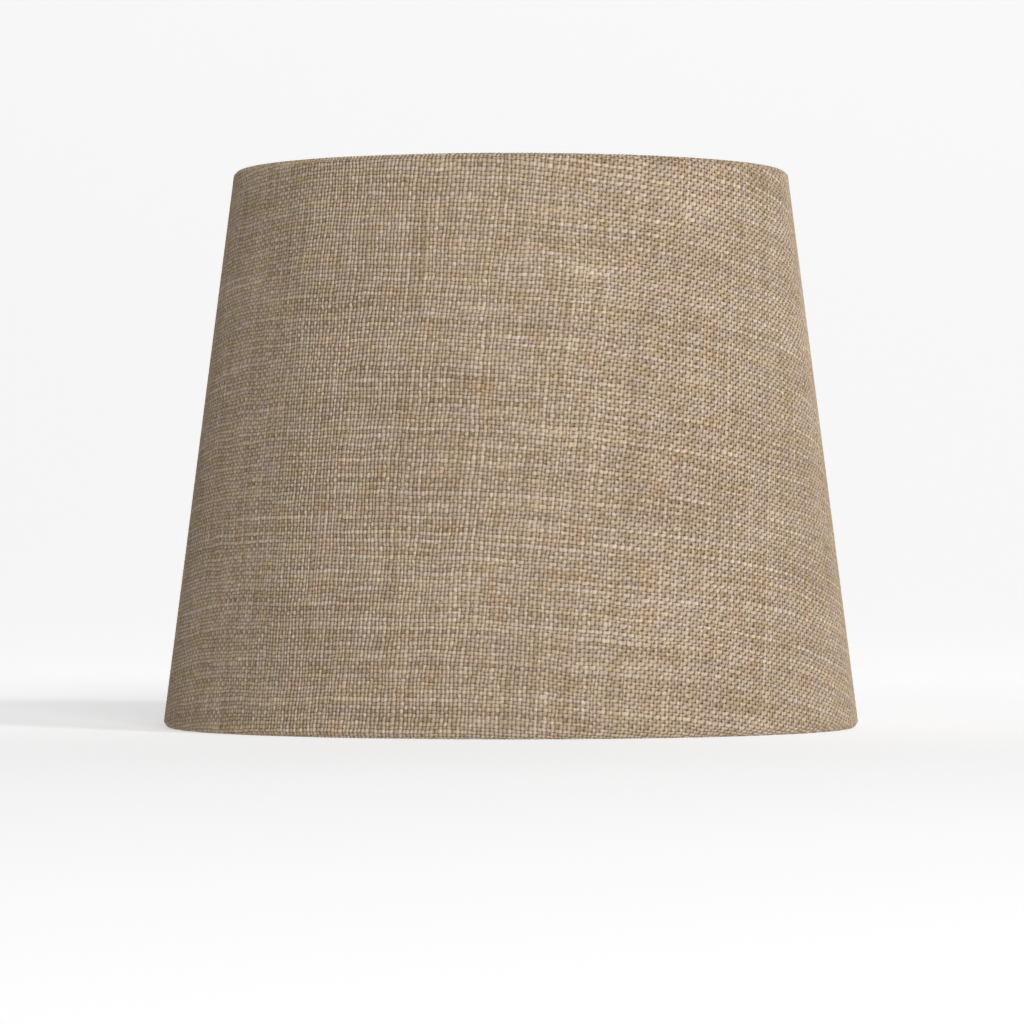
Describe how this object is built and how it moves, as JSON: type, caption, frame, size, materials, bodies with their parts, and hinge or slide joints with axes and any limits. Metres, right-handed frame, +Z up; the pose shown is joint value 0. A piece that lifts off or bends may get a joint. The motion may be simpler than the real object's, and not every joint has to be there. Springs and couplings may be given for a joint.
{
  "type": "lamp shade",
  "caption": "Tapered drum lamp shade in coarse natural linen on a stiff white liner, with rolled wire edges and a recessed spider fitter.",
  "frame": {"origin": "centre of the circle that the bottom edge stands on", "axes": "+Z up along the axis of the cone, +Y towards the seam at the back, -Y towards the front"},
  "size_m": [0.254, 0.2553, 0.2032],
  "materials": {
    "linen": "coarse slubby plain weave, natural tan",
    "liner": "matt white styrene sheet",
    "adhesive_tape": "thin translucent tape",
    "wire": "brass plated steel wire, satin",
    "washer": "brass plated steel, satin",
    "weld": "weld bead, plated over"
  },
  "bodies": {
    "root": {"linen_cover": "linen", "seam_tape": "adhesive_tape", "styrene_liner": "liner", "top_ring": "wire", "bottom_ring": "wire", "top_ring_weld": "weld", "bottom_ring_weld": "weld", "top_ring_tape": "adhesive_tape", "bottom_ring_tape": "adhesive_tape", "spider_arm_1": "wire", "spider_arm_2": "wire", "spider_arm_3": "wire", "spider_washer": "washer", "arm_ring_welds": "weld", "arm_washer_welds": "weld"}
  },
  "joints": []
}
